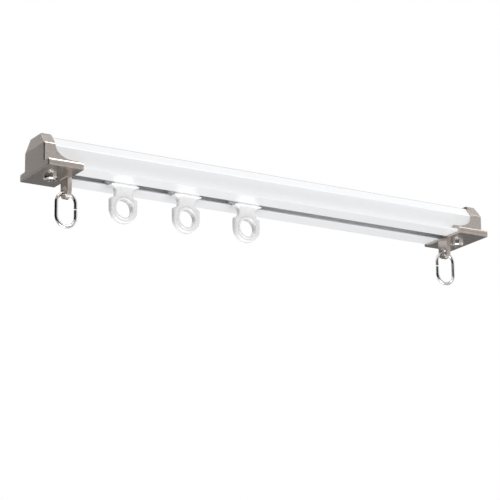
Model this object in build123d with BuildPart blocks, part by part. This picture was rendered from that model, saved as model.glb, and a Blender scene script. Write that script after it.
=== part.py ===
"""Curtain track: a folded steel rail with a slot along its underside, closed at both ends by
cast caps that carry hanging links, and three moulded runners that slide in the slot.

All sizes are in millimetres. The origin is the middle of the rail's top face, where a bracket
holds it. X runs along the rail, -Y is the room side, Z is up.
"""

import os
from math import atan2, tan

from build123d import *

# Rail
rail_length = 217.0
rail_height = 14.1
rail_top_width = 8.8
rail_width = 16.5
flange_width = 25.3
shoulder_height = 9.5
flange_root_height = 1.15
flange_edge_height = 1.0
rail_sheet = 0.6
slot_width = 6.0
slot_edge_radius = 0.2
bend_radius = 0.5
flange_bend_radius = 0.4
root_radius = 0.5

# End caps
cap_length = 15.7
cap_wall = 0.85
cap_end_wall = 1.2
cap_gap = 0.1
cap_end_gap = 0.1
cap_flange_gap = 0.35
cap_lean = 0.4
cap_bead_radius = 0.9
cap_plate_radius = 0.35
cap_root_radius = 1.0
cap_edge_radius = 0.45
groove_height = 1.3
groove_width = 0.3
groove_depth = 0.2
skirt_length = 5.1
skirt_curve_length = 8.6
skirt_curve_height = 5.9
skirt_foot_height = 3.8

# Hanging tab under each cap
tab_width = 6.6
tab_thickness = 1.9
tab_setback = 0.2
tab_hole_drop = 5.6
tab_hole_diameter = 3.2
tab_hole_chamfer = 0.35
tab_root_radius = 0.8

# Hanging links
link_wire = 1.45
link_width = 10.2
link_height = 15.65
link_split = 0.7
link_split_height = 8.5
link_seat_gap = 0.22

# Cap screws and clamp nuts
screw_setback = 7.5
screw_diameter = 3.0
screw_length = 5.0
screw_head_diameter = 5.9
screw_head_height = 2.0
screw_head_radius = 1.3
recess_width = 0.9
recess_span = 3.2
recess_depth = 1.1
screw_hole_gap = 0.2
nut_length = 9.0
nut_width = 13.0
nut_thickness = 2.2
nut_corner_radius = 1.0
nut_bore_gap = 0.05

# Runners
runner_1_place = -69.1
runner_2_place = -39.3
runner_3_place = -9.7
ring_diameter = 12.4
ring_hole_diameter = 7.8
ring_drop = 10.3
ring_rim_width = 1.0
ring_rim_height = 0.25
ring_rim_chamfer = 0.2
runner_thickness = 3.0
runner_edge_radius = 0.7
neck_width = 7.8
neck_waist_drop = 3.2
shoulder_ledge = 1.3
shoulder_drop = 5.8
shoulder_radius = 0.8
shoulder_inner_radius = 0.4
glider_length = 12.8
glider_foot_drop = 0.5
neck_tip_height = 0.3
glider_foot_radius = 2.0
glider_width = 13.6
glider_thickness = 2.6
glider_corner_radius = 2.4
glider_edge_radius = 0.8
slot_side_gap = 0.3
lip_gap = 0.25

# Places worked out from the sizes above
underside = -rail_height
middle = -rail_height / 2
lip_top = underside + rail_sheet
cap_growth = cap_gap + cap_wall
cap_top = cap_growth
plate_underside = underside - cap_growth
chamfer_turn = atan2(rail_width - rail_top_width, 2 * (rail_height - shoulder_height))
cap_shoulder = underside + shoulder_height + cap_growth * tan(chamfer_turn / 2)
track_half = rail_length / 2 + cap_end_gap + cap_end_wall
cap_inner_end = track_half - cap_length
flange_lift = cap_flange_gap - cap_gap
tab_centre = cap_inner_end + tab_setback + tab_thickness / 2
tab_outer_face = tab_centre + tab_thickness / 2
tab_hole_height = plate_underside - tab_hole_drop
screw_centre = track_half - screw_setback
slot_body_width = slot_width - 2 * slot_side_gap
runner_flare = (slot_body_width - runner_thickness) / 2

# Degrees in a quarter turn
quarter_turn = 90

# Points closer together than this are the same point
near = 0.01

os.makedirs("parts", exist_ok=True)


def save(piece, label):
    """Name a finished piece and write it."""
    piece.part.label = label
    export_step(piece.part, "parts/" + label + ".step")


def rail_body(station, growth):
    """The rail's form without its flanges, grown all round, on a plane across the rail."""
    with BuildSketch(Plane.YZ.offset(station)) as body:
        with BuildLine():
            Polyline(
                (0, 0),
                (rail_top_width / 2, 0),
                (rail_width / 2, underside + shoulder_height),
                (rail_width / 2, underside),
                (0, underside),
            )
            mirror(about=Plane.YZ)
        make_face()
        offset(amount=growth, kind=Kind.INTERSECTION)
    return body.sketch


def rail_outline(station, growth, lift, top_radius, bead_radius, plate_radius, foot_radius):
    """The rail's outer form, grown all round and its flanges lifted, on a plane across the rail."""
    with BuildSketch(Plane.YZ.offset(station)) as outline:
        with BuildLine():
            Polyline(
                (0, 0),
                (rail_top_width / 2, 0),
                (rail_width / 2, underside + shoulder_height),
                (rail_width / 2, underside + flange_root_height + lift),
                (flange_width / 2, underside + flange_edge_height + lift),
                (flange_width / 2, underside),
                (0, underside),
            )
            mirror(about=Plane.YZ)
        make_face()
        if growth:
            offset(amount=growth, kind=Kind.INTERSECTION)
        corners = outline.vertices()
        upper = corners.filter_by(lambda corner: corner.Y > middle)
        lower = corners.filter_by(lambda corner: corner.Y < middle)
        reach = flange_width / 2 + growth
        tips = lower.filter_by(lambda corner: abs(corner.X) > reach - near)
        roots = lower.filter_by(lambda corner: abs(corner.X) < reach - near)
        beads = tips.filter_by(lambda corner: corner.Y > underside + near)
        plate_corners = tips.filter_by(lambda corner: corner.Y < underside + near)
        if top_radius:
            fillet(upper, top_radius)
        fillet(beads, bead_radius)
        fillet(plate_corners, plate_radius)
        fillet(roots, foot_radius)
    return outline.sketch


# The rail: one strip folded to a closed form, its flanges pressed flat and a slot between its lips
with BuildPart() as rail:
    extrude(
        rail_outline(
            0, 0, 0, bend_radius, flange_bend_radius, flange_bend_radius, root_radius
        ),
        amount=rail_length / 2,
        both=True,
    )
    extrude(rail_body(0, -rail_sheet), amount=rail_length / 2, both=True, mode=Mode.SUBTRACT)
    with BuildSketch(Plane.XY.offset(underside)):
        Rectangle(rail_length, slot_width)
    extrude(amount=rail_sheet, mode=Mode.SUBTRACT)
    lip_edges = rail.edges().filter_by(Axis.X).filter_by(
        lambda edge: abs(abs(edge.center().Y) - slot_width / 2) < near
        and edge.center().Z < underside + near
    )
    fillet(lip_edges, slot_edge_radius)
save(rail, "rail")

# The left cap: a casting that wraps the rail's end, with a screw hole and a tab for the link
with BuildPart() as left_cap:
    extrude(
        rail_outline(
            -track_half,
            cap_growth,
            flange_lift,
            0,
            cap_bead_radius,
            cap_plate_radius,
            cap_root_radius,
        ),
        amount=cap_length,
    )

    # The end face leans inward above its crease
    above_cap = cap_top + cap_wall
    with BuildSketch(Plane.XZ):
        with BuildLine():
            Polyline(
                (-track_half, cap_shoulder),
                (-track_half + cap_lean, cap_top),
                (-track_half + cap_lean, above_cap),
                (-track_half - cap_lean, above_cap),
                (-track_half - cap_lean, cap_shoulder),
                close=True,
            )
        make_face()
    extrude(amount=flange_width, both=True, mode=Mode.SUBTRACT)
    end_faces = left_cap.faces().sort_by(Axis.X)[:2]
    rim = end_faces.edges().filter_by(lambda edge: abs(edge.center().Z - cap_shoulder) > near)
    ridges = left_cap.edges().filter_by(Axis.X).filter_by_position(
        Axis.Z, cap_shoulder - near, cap_top + near
    )
    fillet(rim + ridges, cap_edge_radius)

    # The skirt stops short over the rail, and its lower edge sweeps out to the full length
    curve_start = -track_half + skirt_length
    curve_foot = underside + skirt_foot_height
    curve_top = curve_foot + skirt_curve_height
    past_cap = -cap_inner_end + cap_wall
    with BuildSketch(Plane.XZ):
        with BuildLine():
            sweep_out = EllipticalCenterArc(
                (curve_start + skirt_curve_length, curve_top),
                skirt_curve_length,
                skirt_curve_height,
                start_angle=2 * quarter_turn,
                arc_size=quarter_turn,
            )
            Polyline(
                sweep_out @ 1,
                (past_cap, curve_foot),
                (past_cap, above_cap),
                (curve_start, above_cap),
                sweep_out @ 0,
            )
        make_face()
    extrude(amount=flange_width, both=True, mode=Mode.SUBTRACT)

    # The space that the rail's end fills
    extrude(
        rail_outline(
            -track_half + cap_end_wall,
            cap_gap,
            flange_lift,
            bend_radius,
            flange_bend_radius,
            flange_bend_radius,
            root_radius,
        ),
        amount=cap_length,
        mode=Mode.SUBTRACT,
    )

    # A groove along each side parts the flange's bead from the plate
    groove_place = (flange_width - groove_depth) / 2 + cap_growth
    with BuildSketch(Plane.YZ.offset(-track_half)):
        for side in (-1, 1):
            with Locations((side * groove_place, plate_underside + groove_height)):
                Rectangle(groove_depth, groove_width)
    extrude(amount=cap_length, mode=Mode.SUBTRACT)

    # The tab hangs from the plate's inner edge, blended into it on its outer side
    with BuildSketch(Plane.YZ.offset(-tab_centre)):
        with Locations((0, (plate_underside + tab_hole_height) / 2)):
            Rectangle(tab_width, tab_hole_drop)
        with Locations((0, tab_hole_height)):
            Circle(tab_width / 2)
    extrude(amount=tab_thickness / 2, both=True)
    tab_root = (
        left_cap.edges()
        .filter_by(Axis.Y)
        .filter_by_position(Axis.Z, plate_underside - near, plate_underside + near)
        .filter_by_position(Axis.X, -tab_outer_face - near, -tab_outer_face + near)
    )
    fillet(tab_root, tab_root_radius)
    with BuildSketch(Plane.YZ.offset(-tab_centre)):
        with Locations((0, tab_hole_height)):
            Circle(tab_hole_diameter / 2)
    extrude(amount=tab_thickness / 2, both=True, mode=Mode.SUBTRACT)
    tab_hole_edges = left_cap.edges().filter_by(GeomType.CIRCLE).filter_by(
        lambda edge: abs(edge.radius - tab_hole_diameter / 2) < near
    )
    chamfer(tab_hole_edges, tab_hole_chamfer)

    with BuildSketch(Plane.XY.offset(plate_underside)):
        with Locations((-screw_centre, 0)):
            Circle(screw_diameter / 2 + screw_hole_gap)
    extrude(amount=cap_growth, mode=Mode.SUBTRACT)
save(left_cap, "left_cap")

# The left screw: a pan head with a cross recess, under the cap's plate
with BuildPart() as left_screw:
    with BuildSketch(Plane.XY.offset(plate_underside)):
        with Locations((-screw_centre, 0)):
            Circle(screw_head_diameter / 2)
    extrude(amount=-screw_head_height)
    fillet(left_screw.faces().sort_by(Axis.Z)[0].edges(), screw_head_radius)
    with BuildSketch(Plane.XY.offset(plate_underside - screw_head_height)):
        with Locations((-screw_centre, 0)):
            Rectangle(recess_width, recess_span)
            Rectangle(recess_span, recess_width)
    extrude(amount=recess_depth, mode=Mode.SUBTRACT)
    with BuildSketch(Plane.XY.offset(plate_underside)):
        with Locations((-screw_centre, 0)):
            Circle(screw_diameter / 2)
    extrude(amount=screw_length)
save(left_screw, "left_screw")

# The left nut: a plate inside the rail that the screw draws down onto the slot's lips
with BuildPart() as left_nut:
    with BuildSketch(Plane.XY.offset(lip_top)):
        with Locations((-screw_centre, 0)):
            RectangleRounded(nut_length, nut_width, nut_corner_radius)
            Circle(screw_diameter / 2 + nut_bore_gap, mode=Mode.SUBTRACT)
    extrude(amount=nut_thickness)
save(left_nut, "left_nut")

# The left link: round wire bent to an oval, its split in the leg that faces the runners
with BuildPart() as left_link:
    link_half = (link_width - link_wire) / 2
    inner_leg = -tab_centre + link_half
    outer_leg = -tab_centre - link_half
    wire_top = tab_hole_height - (tab_hole_diameter - link_wire) / 2 + link_seat_gap
    upper_bend = wire_top - link_half
    lower_bend = wire_top - link_height + link_wire + link_half
    split_middle = wire_top + link_wire / 2 - link_height + link_split_height
    with BuildLine(Plane.XZ):
        Line((inner_leg, split_middle + link_split / 2), (inner_leg, upper_bend))
        ThreePointArc(
            (inner_leg, upper_bend),
            (-tab_centre, wire_top),
            (outer_leg, upper_bend),
        )
        Line((outer_leg, upper_bend), (outer_leg, lower_bend))
        ThreePointArc(
            (outer_leg, lower_bend),
            (-tab_centre, lower_bend - link_half),
            (inner_leg, lower_bend),
        )
        Line((inner_leg, lower_bend), (inner_leg, split_middle - link_split / 2))
    with BuildSketch(Plane.XY.offset(split_middle + link_split / 2)):
        with Locations((inner_leg, 0)):
            Circle(link_wire / 2)
    sweep()
save(left_link, "left_link")

# The right end is the left end mirrored
for left_piece, right_label in (
    (left_cap, "right_cap"),
    (left_screw, "right_screw"),
    (left_nut, "right_nut"),
    (left_link, "right_link"),
):
    with BuildPart() as right_piece:
        mirror(left_piece.part, about=Plane.YZ)
    save(right_piece, right_label)

# The runner: one moulding of a glider in the rail, a foot in the slot, a waisted neck and a ring
with BuildPart() as runner:
    ring_height = underside - ring_drop
    ring_radius = ring_diameter / 2
    ring_hole_radius = ring_hole_diameter / 2
    foot_underside = underside - glider_foot_drop
    waist_height = underside - neck_waist_drop
    shoulder = underside - shoulder_drop
    flare_end = foot_underside - runner_flare
    below_ring = ring_height - ring_diameter
    neck_spread = (glider_length - neck_width) / 2
    neck_foot = ring_radius - shoulder_ledge
    neck_tip = foot_underside - neck_tip_height

    # Neck and ring from the front
    with BuildSketch(Plane.XZ):
        with BuildLine():
            Line((0, foot_underside), (glider_length / 2, foot_underside))
            Line((glider_length / 2, foot_underside), (glider_length / 2, neck_tip))
            EllipticalCenterArc(
                (glider_length / 2, waist_height),
                neck_spread,
                neck_tip - waist_height,
                start_angle=quarter_turn,
                arc_size=quarter_turn,
            )
            TangentArc((neck_width / 2, waist_height), (neck_foot, shoulder), tangent=(0, -1))
            Line((neck_foot, shoulder), (ring_radius, shoulder))
            Line((ring_radius, shoulder), (ring_radius, ring_height))
            CenterArc((0, ring_height), ring_radius, 0, -quarter_turn)
            mirror(about=Plane.YZ)
        front = make_face()
        outside_corners = front.vertices().filter_by(
            lambda corner: abs(abs(corner.X) - ring_radius) < near
            and abs(corner.Y - shoulder) < near
        )
        fillet(outside_corners, shoulder_radius)
        inside_corners = front.vertices().filter_by(
            lambda corner: abs(abs(corner.X) - neck_foot) < near
        )
        fillet(inside_corners, shoulder_inner_radius)
    extrude(amount=slot_body_width / 2, both=True)

    # The same from the side: thin below, flared to the foot's width at the slot
    with BuildSketch(Plane.YZ):
        with BuildLine():
            Line((0, foot_underside), (slot_body_width / 2, foot_underside))
            RadiusArc(
                (slot_body_width / 2, foot_underside),
                (runner_thickness / 2, flare_end),
                -runner_flare,
            )
            Polyline(
                (runner_thickness / 2, flare_end),
                (runner_thickness / 2, below_ring),
                (0, below_ring),
            )
            mirror(about=Plane.YZ)
        make_face()
    extrude(amount=glider_length, both=True, mode=Mode.INTERSECT)

    # Rounded edges round the ring and up the neck
    rounded_edges = runner.edges().filter_by(
        lambda edge: abs(abs(edge.center().Y) - runner_thickness / 2) < near
        and edge.center().Z < flare_end
    )
    fillet(rounded_edges, runner_edge_radius)

    # The ring's hole, with a low rim on both sides
    with BuildSketch(Plane.XZ):
        with Locations((0, ring_height)):
            Circle(ring_hole_radius + ring_rim_width)
    extrude(amount=runner_thickness / 2 + ring_rim_height, both=True)
    with BuildSketch(Plane.XZ):
        with Locations((0, ring_height)):
            Circle(ring_hole_radius)
    extrude(amount=runner_thickness, both=True, mode=Mode.SUBTRACT)
    rim_edges = runner.edges().filter_by(GeomType.CIRCLE).filter_by(
        lambda edge: abs(abs(edge.center().Y) - runner_thickness / 2 - ring_rim_height) < near
    )
    chamfer(rim_edges, ring_rim_chamfer)

    # The foot fills the slot and the glider rides on the slot's lips
    with BuildSketch(Plane.XY.offset(foot_underside)):
        RectangleRounded(glider_length, slot_body_width, glider_foot_radius)
    extrude(amount=lip_top + lip_gap - foot_underside)
    with BuildSketch(Plane.XY.offset(lip_top + lip_gap)):
        RectangleRounded(glider_length, glider_width, glider_corner_radius)
    extrude(amount=glider_thickness)
    fillet(runner.faces().sort_by(Axis.Z)[-1].edges(), glider_edge_radius)

for number, place in enumerate((runner_1_place, runner_2_place, runner_3_place), start=1):
    with BuildPart() as placed_runner:
        with Locations((place, 0, 0)):
            add(runner.part)
    save(placed_runner, "runner_" + str(number))
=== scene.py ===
"""The looks of a curtain track: its paint, plating, wire and moulded plastic, and the studio
it stands in. All lengths are in metres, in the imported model's own frame.
"""

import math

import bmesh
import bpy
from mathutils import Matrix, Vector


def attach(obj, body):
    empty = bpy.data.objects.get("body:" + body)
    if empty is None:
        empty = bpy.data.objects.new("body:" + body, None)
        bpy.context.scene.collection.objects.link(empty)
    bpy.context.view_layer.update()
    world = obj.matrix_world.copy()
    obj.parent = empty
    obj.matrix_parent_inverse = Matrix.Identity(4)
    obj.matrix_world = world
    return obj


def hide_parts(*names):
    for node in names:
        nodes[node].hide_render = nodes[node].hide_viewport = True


bl_info = {
    "name": "Curtain track",
    "version": (1, 0, 0),
    "blender": (4, 5, 0),
    "location": "3D View > Sidebar > Curtain track",
    "description": "Finishes and fine detail for a slotted curtain track with end caps and runners",
    "category": "Object",
}

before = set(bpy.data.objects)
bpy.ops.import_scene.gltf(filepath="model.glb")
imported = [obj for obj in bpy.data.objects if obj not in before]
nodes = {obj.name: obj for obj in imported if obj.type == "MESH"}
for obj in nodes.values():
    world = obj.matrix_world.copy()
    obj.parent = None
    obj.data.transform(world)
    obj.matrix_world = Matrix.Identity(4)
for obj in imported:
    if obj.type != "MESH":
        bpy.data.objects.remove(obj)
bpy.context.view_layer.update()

ENDS = ("left", "right")
RUNNERS = sorted(name for name in nodes if name.startswith("runner_"))

# A face looks straight down when its normal's height is below this.
FACING_DOWN = -0.999
# The thread's foot stands a little inside the shaft.
THREAD_SINK = 0.99
MERGE_DISTANCE = 1e-7

# The lamps: name, direction and rise in degrees, distance, size.
LAMPS = (
    ("key", 303, 60, 1.5, 0.8),
    ("fill", 240, -72, 1.0, 0.8),
)
# The screens: name, distance, first and last direction and lowest and highest rise in degrees,
# grey, and the kind of ray that sees them.
SCREENS = (
    ("dark_screen", 1.6, (117, 281), (-26, 34), 0.02, "glossy"),
    ("side_screen", 1.6, (281, 328), (-8, 30), 0.72, "glossy"),
    ("left_card", 1.3, (125, 208), (-50, 52), 0.25, "diffuse"),
    ("low_screen", 1.2, (25, 95), (-35, -4), 0.17, "glossy"),
    ("back_screen", 1.6, (30, 92), (4, 27), 0.03, "glossy"),
    ("high_screen", 0.6, (0, 75), (45, 82), 0.12, "glossy"),
)


class RailFinish(bpy.types.PropertyGroup):
    """The rail's white paint."""

    colour: bpy.props.FloatVectorProperty(
        name="Colour",
        description="Colour of the rail's paint",
        subtype="COLOR",
        size=4,
        min=0.0,
        max=1.0,
        default=(0.87, 0.875, 0.885, 1.0),
    )
    # Painted shade: the darker colour laid along the rail's two top corners stands in for the grey
    # line of shade along them.
    corner_shade_colour: bpy.props.FloatVectorProperty(
        name="Corner colour",
        description="Colour of the paint along the two top corners",
        subtype="COLOR",
        size=4,
        min=0.0,
        max=1.0,
        default=(0.46, 0.465, 0.475, 1.0),
    )
    roughness: bpy.props.FloatProperty(
        name="Roughness",
        description="How dull the paint is",
        default=0.32,
        min=0.0,
        max=1.0,
    )


class CapFinish(bpy.types.PropertyGroup):
    """The end caps' satin plating."""

    colour: bpy.props.FloatVectorProperty(
        name="Colour",
        description="Colour of the caps' plating",
        subtype="COLOR",
        size=4,
        min=0.0,
        max=1.0,
        default=(0.62, 0.56, 0.515, 1.0),
    )
    roughness: bpy.props.FloatProperty(
        name="Roughness",
        description="How dull the blasted surface is",
        default=0.29,
        min=0.0,
        max=1.0,
    )


class WireFinish(bpy.types.PropertyGroup):
    """The bright plating of the links, the screws and the nuts."""

    link_colour: bpy.props.FloatVectorProperty(
        name="Link colour",
        description="Colour of the polished links",
        subtype="COLOR",
        size=4,
        min=0.0,
        max=1.0,
        default=(0.78, 0.78, 0.78, 1.0),
    )
    screw_colour: bpy.props.FloatVectorProperty(
        name="Screw colour",
        description="Colour of the plated screws",
        subtype="COLOR",
        size=4,
        min=0.0,
        max=1.0,
        default=(0.80, 0.79, 0.77, 1.0),
    )
    nut_colour: bpy.props.FloatVectorProperty(
        name="Nut colour",
        description="Colour of the zinc on the clamp nuts",
        subtype="COLOR",
        size=4,
        min=0.0,
        max=1.0,
        default=(0.62, 0.62, 0.60, 1.0),
    )


class ScrewForm(bpy.types.PropertyGroup):
    """The sizes of a screw's head and thread."""

    head_height: bpy.props.FloatProperty(
        name="Head height",
        description="Height of the head",
        unit="LENGTH",
        default=0.002,
    )
    dome_radius: bpy.props.FloatProperty(
        name="Dome radius",
        description="Rounding of the head's rim",
        unit="LENGTH",
        default=0.0013,
    )
    recess_width: bpy.props.FloatProperty(
        name="Recess width",
        description="Width of the crossed recess's arms",
        unit="LENGTH",
        default=0.0009,
    )
    recess_length: bpy.props.FloatProperty(
        name="Recess length",
        description="Length of the crossed recess from tip to tip",
        unit="LENGTH",
        default=0.0030,
    )
    recess_depth: bpy.props.FloatProperty(
        name="Recess depth",
        description="Depth of the crossed recess",
        unit="LENGTH",
        default=0.0011,
    )
    recess_taper: bpy.props.FloatProperty(
        name="Recess taper",
        description="Size of the recess's floor as a share of its mouth",
        default=0.72,
    )
    thread_radius: bpy.props.FloatProperty(
        name="Thread radius",
        description="Outer radius of the thread",
        unit="LENGTH",
        default=0.0015,
    )
    thread_depth: bpy.props.FloatProperty(
        name="Thread depth",
        description="Depth of the thread",
        unit="LENGTH",
        default=0.0003,
    )
    thread_pitch: bpy.props.FloatProperty(
        name="Thread pitch",
        description="Rise of the thread in one turn",
        unit="LENGTH",
        default=0.0005,
    )
    sharp_angle: bpy.props.FloatProperty(
        name="Sharp angle",
        description="Angle from which two faces meet in a sharp edge",
        subtype="ANGLE",
        unit="ROTATION",
        default=math.radians(30),
    )


class RunnerFinish(bpy.types.PropertyGroup):
    """The runners' milky plastic."""

    colour: bpy.props.FloatVectorProperty(
        name="Colour",
        description="Colour of the moulded plastic",
        subtype="COLOR",
        size=4,
        min=0.0,
        max=1.0,
        default=(0.94, 0.94, 0.94, 1.0),
    )
    roughness: bpy.props.FloatProperty(
        name="Roughness",
        description="How dull the moulded skin is",
        default=0.28,
        min=0.0,
        max=1.0,
    )


class StageSettings(bpy.types.PropertyGroup):
    """The camera, the lamps, the floor and the world."""

    camera_place: bpy.props.FloatVectorProperty(
        name="Camera place",
        description="Where the camera stands",
        subtype="TRANSLATION",
        unit="LENGTH",
        default=(-0.45153, -0.73503, -0.27337),
    )
    camera_yaw: bpy.props.FloatProperty(
        name="Camera yaw",
        description="How far the camera is turned to the right of looking along Y",
        subtype="ANGLE",
        unit="ROTATION",
        default=math.radians(31.115),
    )
    camera_pitch: bpy.props.FloatProperty(
        name="Camera pitch",
        description="How far the camera looks up",
        subtype="ANGLE",
        unit="ROTATION",
        default=math.radians(15.601),
    )
    camera_roll: bpy.props.FloatProperty(
        name="Camera roll",
        description="How far the camera leans to its left",
        subtype="ANGLE",
        unit="ROTATION",
        default=math.radians(-0.619),
    )
    lens: bpy.props.FloatProperty(
        name="Lens",
        description="Focal length in millimetres on a 36 mm wide sensor",
        default=150.16,
        min=1.0,
    )
    key_power: bpy.props.FloatProperty(
        name="Key power",
        description="Power of the lamp above the front",
        unit="POWER",
        default=17.6,
        min=0.0,
    )
    fill_power: bpy.props.FloatProperty(
        name="Fill power",
        description="Power of the lamp below the front",
        unit="POWER",
        default=8.0,
        min=0.0,
    )
    floor_drop: bpy.props.FloatProperty(
        name="Floor drop",
        description="How far the floor is below the rail",
        unit="LENGTH",
        default=1.2,
        min=0.1,
    )
    floor_size: bpy.props.FloatProperty(
        name="Floor size",
        description="Length of the floor's sides",
        unit="LENGTH",
        default=8.0,
        min=1.0,
    )
    far_floor_size: bpy.props.FloatProperty(
        name="Far floor size",
        description="Length of the sides of the floor that only the camera sees",
        unit="LENGTH",
        default=80.0,
        min=1.0,
    )
    floor_step: bpy.props.FloatProperty(
        name="Floor step",
        description="How far the far floor is below the floor",
        unit="LENGTH",
        default=0.001,
        min=0.0001,
    )
    floor_colour: bpy.props.FloatVectorProperty(
        name="Floor colour",
        description="Colour of the floor",
        subtype="COLOR",
        size=4,
        min=0.0,
        max=1.0,
        default=(0.85, 0.85, 0.85, 1.0),
    )
    world_level: bpy.props.FloatProperty(
        name="World level",
        description="Strength of the soft light from all round",
        default=0.60,
        min=0.0,
    )


def new_material(name, colour, roughness, metallic=0.0):
    """A material with one Principled shader, and the shader's node."""
    material = bpy.data.materials.new(name)
    material.use_nodes = True
    shader = material.node_tree.nodes["Principled BSDF"]
    shader.inputs["Base Color"].default_value = colour
    shader.inputs["Roughness"].default_value = roughness
    shader.inputs["Metallic"].default_value = metallic
    return material, shader


def new_group(name, inputs, outputs):
    """An empty shader group with its sockets, and its input and output nodes."""
    tree = bpy.data.node_groups.new(name, "ShaderNodeTree")
    for socket_name, kind, value in inputs:
        socket = tree.interface.new_socket(socket_name, in_out="INPUT", socket_type=kind)
        if value is not None:
            socket.default_value = value
    for socket_name, kind in outputs:
        tree.interface.new_socket(socket_name, in_out="OUTPUT", socket_type=kind)
    return tree, tree.nodes.new("NodeGroupInput"), tree.nodes.new("NodeGroupOutput")


def surface_grain():
    """The group that every finish here uses: a fine grain on a slower mottle, with its relief."""
    tree, given, made = new_group(
        "surface_grain",
        (
            ("Vector", "NodeSocketVector", None),
            ("Grain Scale", "NodeSocketFloat", 1500.0),
            ("Mottle Scale", "NodeSocketFloat", 90.0),
            ("Mottle Share", "NodeSocketFloat", 0.4),
            ("Relief", "NodeSocketFloat", 0.1),
            ("Depth", "NodeSocketFloat", 0.00002),
        ),
        (("Mask", "NodeSocketFloat"), ("Normal", "NodeSocketVector")),
    )
    nodes_made = tree.nodes
    link = tree.links.new
    grain = nodes_made.new("ShaderNodeTexNoise")
    grain.inputs["Detail"].default_value = 3.0
    grain.inputs["Roughness"].default_value = 0.6
    mottle = nodes_made.new("ShaderNodeTexNoise")
    mottle.inputs["Detail"].default_value = 4.0
    mottle.inputs["Roughness"].default_value = 0.55
    for noise, scale in ((grain, "Grain Scale"), (mottle, "Mottle Scale")):
        link(given.outputs["Vector"], noise.inputs["Vector"])
        link(given.outputs[scale], noise.inputs["Scale"])
    blend = nodes_made.new("ShaderNodeMix")
    link(given.outputs["Mottle Share"], blend.inputs["Factor"])
    link(grain.outputs["Fac"], blend.inputs["A"])
    link(mottle.outputs["Fac"], blend.inputs["B"])
    spread = nodes_made.new("ShaderNodeMapRange")
    spread.inputs["From Min"].default_value = 0.2
    spread.inputs["From Max"].default_value = 0.8
    link(blend.outputs["Result"], spread.inputs["Value"])
    bump = nodes_made.new("ShaderNodeBump")
    link(given.outputs["Relief"], bump.inputs["Strength"])
    link(given.outputs["Depth"], bump.inputs["Distance"])
    link(spread.outputs["Result"], bump.inputs["Height"])
    link(spread.outputs["Result"], made.inputs["Mask"])
    link(bump.outputs["Normal"], made.inputs["Normal"])
    return tree


def corner_line():
    """The group that finds the lines along a profile's two top corners, where painted shade is
    laid.
    """
    tree, given, made = new_group(
        "corner_line",
        (
            ("Vector", "NodeSocketVector", None),
            ("Corner", "NodeSocketFloat", 0.0044),
            ("Core", "NodeSocketFloat", 0.0002),
            ("Reach", "NodeSocketFloat", 0.0007),
        ),
        (("Mask", "NodeSocketFloat"),),
    )
    link = tree.links.new
    apart = tree.nodes.new("ShaderNodeSeparateXYZ")
    side = tree.nodes.new("ShaderNodeMath")
    side.operation = "ABSOLUTE"
    past = tree.nodes.new("ShaderNodeMath")
    past.operation = "SUBTRACT"
    across = tree.nodes.new("ShaderNodeCombineXYZ")
    away = tree.nodes.new("ShaderNodeVectorMath")
    away.operation = "LENGTH"
    fade = tree.nodes.new("ShaderNodeMapRange")
    fade.interpolation_type = "SMOOTHSTEP"
    fade.inputs["To Min"].default_value = 1.0
    fade.inputs["To Max"].default_value = 0.0
    link(given.outputs["Vector"], apart.inputs["Vector"])
    link(apart.outputs["Y"], side.inputs[0])
    link(side.outputs["Value"], past.inputs[0])
    link(given.outputs["Corner"], past.inputs[1])
    link(past.outputs["Value"], across.inputs["Y"])
    link(apart.outputs["Z"], across.inputs["Z"])
    link(across.outputs["Vector"], away.inputs["Vector"])
    link(away.outputs["Value"], fade.inputs["Value"])
    link(given.outputs["Core"], fade.inputs["From Min"])
    link(given.outputs["Reach"], fade.inputs["From Max"])
    link(fade.outputs["Result"], made.inputs["Mask"])
    return tree


def shade_corners(material, shader, colour):
    """Lay painted shade over a material along its two top corners: a darker colour that stands in
    for the grey line of shade there.
    """
    tree = material.node_tree
    link = tree.links.new
    place = tree.nodes.new("ShaderNodeTexCoord")
    group = tree.nodes.new("ShaderNodeGroup")
    group.node_tree = corner_line()
    cover = tree.nodes.new("ShaderNodeMixRGB")
    cover.inputs["Color2"].default_value = colour
    link(place.outputs["Object"], group.inputs["Vector"])
    link(group.outputs["Mask"], cover.inputs["Fac"])
    link(shader.inputs["Base Color"].links[0].from_socket, cover.inputs["Color1"])
    link(cover.outputs["Color"], shader.inputs["Base Color"])


def give_grain(material, shader, stretch, colours, roughness, **settings):
    """Run the grain over a material: between two colours, two roughnesses, and in relief."""
    tree = material.node_tree
    link = tree.links.new
    place = tree.nodes.new("ShaderNodeTexCoord")
    mapping = tree.nodes.new("ShaderNodeMapping")
    mapping.inputs["Scale"].default_value = stretch
    group = tree.nodes.new("ShaderNodeGroup")
    group.node_tree = bpy.data.node_groups.get("surface_grain") or surface_grain()
    for name, value in settings.items():
        group.inputs[name.replace("_", " ").title()].default_value = value
    tint = tree.nodes.new("ShaderNodeValToRGB")
    for element, colour in zip(tint.color_ramp.elements, colours):
        element.color = colour
    dull = tree.nodes.new("ShaderNodeMapRange")
    dull.inputs["To Min"].default_value, dull.inputs["To Max"].default_value = roughness
    link(place.outputs["Object"], mapping.inputs["Vector"])
    link(mapping.outputs["Vector"], group.inputs["Vector"])
    link(group.outputs["Mask"], tint.inputs["Fac"])
    link(group.outputs["Mask"], dull.inputs["Value"])
    link(tint.outputs["Color"], shader.inputs["Base Color"])
    link(dull.outputs["Result"], shader.inputs["Roughness"])
    link(group.outputs["Normal"], shader.inputs["Normal"])


def shaded(colour, share):
    """A colour made lighter or darker."""
    return tuple(min(1.0, channel * share) for channel in colour[:3]) + (1.0,)


def dress(node_names, material):
    """Give CAD nodes a material."""
    for name in node_names:
        piece = nodes[name]
        if not piece.material_slots:
            piece.data.materials.append(material)
        for material_slot in piece.material_slots:
            material_slot.material = material


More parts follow.
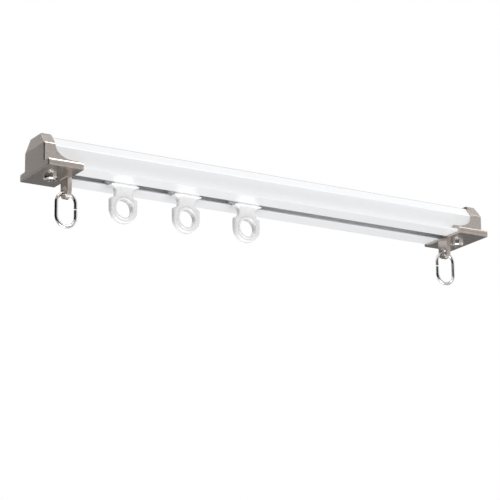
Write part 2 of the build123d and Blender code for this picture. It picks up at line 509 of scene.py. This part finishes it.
def new_object(name, bm, material):
    """A mesh object at the origin, made from a bmesh."""
    mesh = bpy.data.meshes.new(name)
    bm.to_mesh(mesh)
    bm.free()
    mesh.materials.append(material)
    made = bpy.data.objects.new(name, mesh)
    bpy.context.scene.collection.objects.link(made)
    return made


class TRACK_OT_paint_rail(bpy.types.Operator):
    """Paint the rail."""

    bl_idname = "track.paint_rail"
    bl_label = "Paint the rail"

    def execute(self, context):
        finish = context.scene.track_rail
        material, shader = new_material("rail_paint", finish.colour, finish.roughness)
        give_grain(
            material,
            shader,
            stretch=(1.0, 1.0, 1.0),
            colours=(shaded(finish.colour, 0.985), shaded(finish.colour, 1.01)),
            roughness=(finish.roughness - 0.04, finish.roughness + 0.04),
            grain_scale=900.0,
            mottle_scale=60.0,
            mottle_share=0.3,
            relief=0.12,
        )
        # Painted shade along the rail's two top corners.
        shade_corners(material, shader, finish.corner_shade_colour)
        shader.inputs["Coat Weight"].default_value = 0.5
        shader.inputs["Coat Roughness"].default_value = 0.2
        dress(["rail"], material)
        return {"FINISHED"}


class TRACK_OT_plate_caps(bpy.types.Operator):
    """Give both end caps their satin plating."""

    bl_idname = "track.plate_caps"
    bl_label = "Plate the end caps"

    def execute(self, context):
        finish = context.scene.track_caps
        material, shader = new_material("cap_plating", finish.colour, finish.roughness, 1.0)
        give_grain(
            material,
            shader,
            stretch=(0.5, 1.0, 1.0),
            colours=(shaded(finish.colour, 0.78), shaded(finish.colour, 1.16)),
            roughness=(finish.roughness - 0.05, finish.roughness + 0.06),
            grain_scale=3600.0,
            mottle_scale=1200.0,
            mottle_share=0.6,
            relief=0.25,
        )
        dress([end + "_cap" for end in ENDS], material)
        return {"FINISHED"}


class TRACK_OT_plate_small_parts(bpy.types.Operator):
    """Plate the links, the screws and the nuts."""

    bl_idname = "track.plate_small_parts"
    bl_label = "Plate the small parts"

    def execute(self, context):
        finish = context.scene.track_wire
        for name, colour, roughness, relief in (
            ("link", finish.link_colour, (0.05, 0.1), 0.03),
            ("screw", finish.screw_colour, (0.16, 0.26), 0.08),
            ("nut", finish.nut_colour, (0.3, 0.5), 0.3),
        ):
            material, shader = new_material(name + "_plating", colour, roughness[0], 1.0)
            give_grain(
                material,
                shader,
                stretch=(1.0, 1.0, 1.0),
                colours=(shaded(colour, 0.94), shaded(colour, 1.04)),
                roughness=roughness,
                grain_scale=1800.0,
                mottle_scale=300.0,
                mottle_share=0.5,
                relief=relief,
            )
            dress([end + "_" + name for end in ENDS], material)
        return {"FINISHED"}


def screw_head(screw, radius):
    """A round head standing on its domed face at the origin, with a crossed recess cut into it."""
    bm = bmesh.new()
    bmesh.ops.create_cone(
        bm,
        cap_ends=True,
        segments=64,
        radius1=radius,
        radius2=radius,
        depth=screw.head_height,
        matrix=Matrix.Translation((0, 0, screw.head_height / 2)),
    )
    middle = screw.head_height / 2
    rim = [edge for edge in bm.edges if all(vert.co.z < middle for vert in edge.verts)]
    bmesh.ops.bevel(
        bm,
        geom=rim,
        offset=screw.dome_radius,
        segments=8,
        profile=0.5,
        affect="EDGES",
        material=-1,
    )
    arm = screw.recess_width / 2
    tip = screw.recess_length / 2
    for side in (Vector((1, 0, 0)), Vector((0, 1, 0))):
        for offset in (-tip, -arm, arm, tip):
            down = [face for face in bm.faces if face.normal.z < FACING_DOWN]
            around = dict.fromkeys(edge for face in down for edge in face.edges)
            corners = dict.fromkeys(vert for face in down for vert in face.verts)
            bmesh.ops.bisect_plane(
                bm,
                geom=[*down, *around, *corners],
                plane_co=side * offset,
                plane_no=side,
            )
    cross = []
    for face in bm.faces:
        place = face.calc_center_median()
        within = sorted((abs(place.x), abs(place.y)))
        if face.normal.z < FACING_DOWN and within[0] < arm and within[1] < tip:
            cross.append(face)
    sunk = bmesh.ops.extrude_face_region(bm, geom=cross)["geom"]
    bmesh.ops.delete(bm, geom=cross, context="FACES_KEEP_BOUNDARY")
    floor_corners = [part for part in sunk if isinstance(part, bmesh.types.BMVert)]
    bmesh.ops.scale(bm, vec=(screw.recess_taper, screw.recess_taper, 1.0), verts=floor_corners)
    bmesh.ops.translate(bm, vec=(0, 0, screw.recess_depth), verts=floor_corners)
    return bm


def add_thread(bm, screw, length):
    """Add a shaft on top of the head, with a thread wound round it."""
    root = screw.thread_radius - screw.thread_depth
    shaft = length - screw.head_height
    bmesh.ops.create_cone(
        bm,
        cap_ends=True,
        segments=32,
        radius1=root,
        radius2=root,
        depth=shaft,
        matrix=Matrix.Translation((0, 0, screw.head_height + shaft / 2)),
    )
    pitch = screw.thread_pitch
    turns = int(shaft / pitch) - 1
    foot = root * THREAD_SINK
    crest = screw.thread_radius
    profile = [
        bm.verts.new((radius, 0, screw.head_height + rise * pitch))
        for radius, rise in ((foot, 0.0), (crest, 0.4), (crest, 0.6), (foot, 1.0))
    ]
    edges = [bm.edges.new(pair) for pair in zip(profile, profile[1:])]
    steps = 24
    bmesh.ops.spin(
        bm,
        geom=profile + edges,
        cent=(0, 0, 0),
        axis=(0, 0, 1),
        dvec=(0, 0, pitch / steps),
        angle=math.tau * turns,
        steps=steps * turns,
    )
    bmesh.ops.remove_doubles(bm, verts=bm.verts, dist=MERGE_DISTANCE)
    bmesh.ops.recalc_face_normals(bm, faces=bm.faces)


class TRACK_OT_turn_screws(bpy.types.Operator):
    """Make the threaded screws that hold the caps, with a crossed recess in the head."""

    bl_idname = "track.turn_screws"
    bl_label = "Turn the screws"

    def execute(self, context):
        screw = context.scene.track_screw
        plating = bpy.data.materials["screw_plating"]
        for end in ENDS:
            node = nodes[end + "_screw"]
            corners = [node.matrix_world @ Vector(corner) for corner in node.bound_box]
            low = [min(corner[axis] for corner in corners) for axis in range(3)]
            high = [max(corner[axis] for corner in corners) for axis in range(3)]
            centre = ((low[0] + high[0]) / 2, (low[1] + high[1]) / 2)
            bm = screw_head(screw, (high[0] - low[0]) / 2)
            add_thread(bm, screw, high[2] - low[2])
            bmesh.ops.translate(bm, vec=(*centre, low[2]), verts=bm.verts)
            made = new_object(end + "_threaded_screw", bm, plating)
            made.data.shade_smooth()
            made.data.set_sharp_from_angle(angle=screw.sharp_angle)
            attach(made, "track")
            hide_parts(end + "_screw")
        return {"FINISHED"}


class TRACK_OT_mould_runners(bpy.types.Operator):
    """Give the runners their milky plastic."""

    bl_idname = "track.mould_runners"
    bl_label = "Mould the runners"

    def execute(self, context):
        finish = context.scene.track_runners
        material, shader = new_material("runner_plastic", finish.colour, finish.roughness)
        shader.inputs["Transmission Weight"].default_value = 0.05
        shader.inputs["Subsurface Weight"].default_value = 0.3
        shader.inputs["Subsurface Radius"].default_value = (1.0, 1.0, 1.0)
        shader.inputs["Subsurface Scale"].default_value = 0.0008
        shader.inputs["IOR"].default_value = 1.49
        give_grain(
            material,
            shader,
            stretch=(1.0, 1.0, 1.0),
            colours=(shaded(finish.colour, 0.97), shaded(finish.colour, 1.02)),
            roughness=(finish.roughness - 0.06, finish.roughness + 0.06),
            grain_scale=1400.0,
            mottle_scale=220.0,
            mottle_share=0.9,
            relief=0.01,
        )
        shader.inputs["Coat Weight"].default_value = 0.8
        shader.inputs["Coat Roughness"].default_value = 0.1
        dress(RUNNERS, material)
        return {"FINISHED"}


def area_lamp(name, turn, rise, distance, size, power):
    """A square lamp in a direction from the track, aimed at it and out of the camera's sight."""
    lamp = bpy.data.lights.new(name, "AREA")
    lamp.size = size
    lamp.energy = power
    made = bpy.data.objects.new(name, lamp)
    bpy.context.scene.collection.objects.link(made)
    turn, rise = math.radians(turn), math.radians(rise)
    way = Vector((math.cos(turn) * math.cos(rise), math.sin(turn) * math.cos(rise), math.sin(rise)))
    aim = way.to_track_quat("Z", "Y").to_matrix().to_4x4()
    made.matrix_world = Matrix.Translation(way * distance) @ aim
    made.visible_camera = False


def studio_floor(name, size, drop, paint):
    """A square floor below the track."""
    bm = bmesh.new()
    bmesh.ops.create_grid(bm, x_segments=1, y_segments=1, size=size / 2)
    bmesh.ops.translate(bm, vec=(0, 0, -drop), verts=bm.verts)
    return new_object(name, bm, paint)


def studio_screen(name, distance, turns, rises, grey, rays):
    """A curved card between two directions and two rises, which one kind of ray alone sees."""
    bm = bmesh.new()
    start, end = (math.radians(turn) for turn in turns)
    heights = [distance * math.tan(math.radians(rise)) for rise in rises]
    ends = [bm.verts.new((distance, 0.0, height)) for height in heights]
    edge = bm.edges.new(ends)
    bmesh.ops.spin(
        bm,
        geom=ends + [edge],
        cent=(0, 0, 0),
        axis=(0, 0, 1),
        angle=end - start,
        steps=24,
    )
    bmesh.ops.rotate(bm, cent=(0, 0, 0), matrix=Matrix.Rotation(start, 3, "Z"), verts=bm.verts)
    cloth, shader = new_material(name, (grey, grey, grey, 1.0), 1.0)
    shader.inputs["Specular IOR Level"].default_value = 0.0
    screen = new_object(name, bm, cloth)
    screen.visible_camera = False
    screen.visible_glossy = rays == "glossy"
    screen.visible_diffuse = rays == "diffuse"
    screen.visible_transmission = False
    screen.visible_shadow = False


def studio_world(level):
    """A world of soft light, which the camera, gloss and glass see as plain white."""
    world = bpy.data.worlds.new("studio")
    world.use_nodes = True
    tree = world.node_tree
    link = tree.links.new
    tree.nodes.clear()
    output = tree.nodes.new("ShaderNodeOutputWorld")
    mixed = tree.nodes.new("ShaderNodeMixShader")
    soft = tree.nodes.new("ShaderNodeBackground")
    soft.inputs["Strength"].default_value = level
    white = tree.nodes.new("ShaderNodeBackground")
    for background in (soft, white):
        background.inputs["Color"].default_value = (1, 1, 1, 1)
    path = tree.nodes.new("ShaderNodeLightPath")
    glossy = tree.nodes.new("ShaderNodeMath")
    glossy.operation = "MAXIMUM"
    through = tree.nodes.new("ShaderNodeMath")
    through.operation = "MAXIMUM"
    link(path.outputs["Is Camera Ray"], glossy.inputs[0])
    link(path.outputs["Is Glossy Ray"], glossy.inputs[1])
    link(glossy.outputs["Value"], through.inputs[0])
    link(path.outputs["Is Transmission Ray"], through.inputs[1])
    link(through.outputs["Value"], mixed.inputs["Fac"])
    link(soft.outputs["Background"], mixed.inputs[1])
    link(white.outputs["Background"], mixed.inputs[2])
    link(mixed.outputs["Shader"], output.inputs["Surface"])
    return world


def studio_camera(stage):
    """The camera, in its place and turned as the settings say."""
    camera = bpy.data.objects.new("camera", bpy.data.cameras.new("camera"))
    camera.data.lens = stage.lens
    camera.data.clip_start = 0.01
    camera.data.clip_end = 100.0
    turn = (
        Matrix.Rotation(-stage.camera_yaw, 4, "Z")
        @ Matrix.Rotation(math.pi / 2 + stage.camera_pitch, 4, "X")
        @ Matrix.Rotation(stage.camera_roll, 4, "Z")
    )
    camera.matrix_world = Matrix.Translation(stage.camera_place) @ turn
    return camera


class TRACK_OT_set_stage(bpy.types.Operator):
    """Set up the floor, the lamps, the screens, the world and the camera."""

    bl_idname = "track.set_stage"
    bl_label = "Set the stage"

    def execute(self, context):
        stage = context.scene.track_stage
        scene = context.scene
        scene.view_settings.view_transform = "Standard"

        floor_paint = new_material("floor", stage.floor_colour, 0.9)[0]
        near = studio_floor("floor", stage.floor_size, stage.floor_drop, floor_paint)
        far_drop = stage.floor_drop + stage.floor_step
        far = studio_floor("far_floor", stage.far_floor_size, far_drop, floor_paint)
        far.visible_glossy = False
        far.visible_diffuse = False
        far.visible_transmission = False

        for name, turn, rise, distance, size in LAMPS:
            area_lamp(name, turn, rise, distance, size, getattr(stage, name + "_power"))
        for name, distance, turns, rises, grey, rays in SCREENS:
            studio_screen(name, distance, turns, rises, grey, rays)

        scene.world = studio_world(stage.world_level)
        camera = studio_camera(stage)
        scene.collection.objects.link(camera)
        scene.camera = camera
        return {"FINISHED"}


class TRACK_PT_panel(bpy.types.Panel):
    """The curtain track's sizes, finishes and steps."""

    bl_label = "Curtain track"
    bl_idname = "TRACK_PT_panel"
    bl_space_type = "VIEW_3D"
    bl_region_type = "UI"
    bl_category = "Curtain track"

    def draw(self, context):
        for name, group in SETTINGS.items():
            box = self.layout.box()
            for field in group.__annotations__:
                box.prop(getattr(context.scene, name), field)
        for step in STEPS:
            self.layout.operator(step.bl_idname)


STEPS = (
    TRACK_OT_paint_rail,
    TRACK_OT_plate_caps,
    TRACK_OT_plate_small_parts,
    TRACK_OT_turn_screws,
    TRACK_OT_mould_runners,
    TRACK_OT_set_stage,
)
SETTINGS = {
    "track_rail": RailFinish,
    "track_caps": CapFinish,
    "track_wire": WireFinish,
    "track_screw": ScrewForm,
    "track_runners": RunnerFinish,
    "track_stage": StageSettings,
}


def register():
    """Register the settings, the operators and the panel."""
    for name, group in SETTINGS.items():
        bpy.utils.register_class(group)
        setattr(bpy.types.Scene, name, bpy.props.PointerProperty(type=group))
    for step in STEPS:
        bpy.utils.register_class(step)
    bpy.utils.register_class(TRACK_PT_panel)


def unregister():
    """Take back what register added."""
    bpy.utils.unregister_class(TRACK_PT_panel)
    for step in reversed(STEPS):
        bpy.utils.unregister_class(step)
    for name, group in reversed(list(SETTINGS.items())):
        delattr(bpy.types.Scene, name)
        bpy.utils.unregister_class(group)


def main():
    """Make the whole scene."""
    register()
    bpy.ops.track.paint_rail()
    bpy.ops.track.plate_caps()
    bpy.ops.track.plate_small_parts()
    bpy.ops.track.turn_screws()
    bpy.ops.track.mould_runners()
    bpy.ops.track.set_stage()


if __name__ == "__main__":
    main()
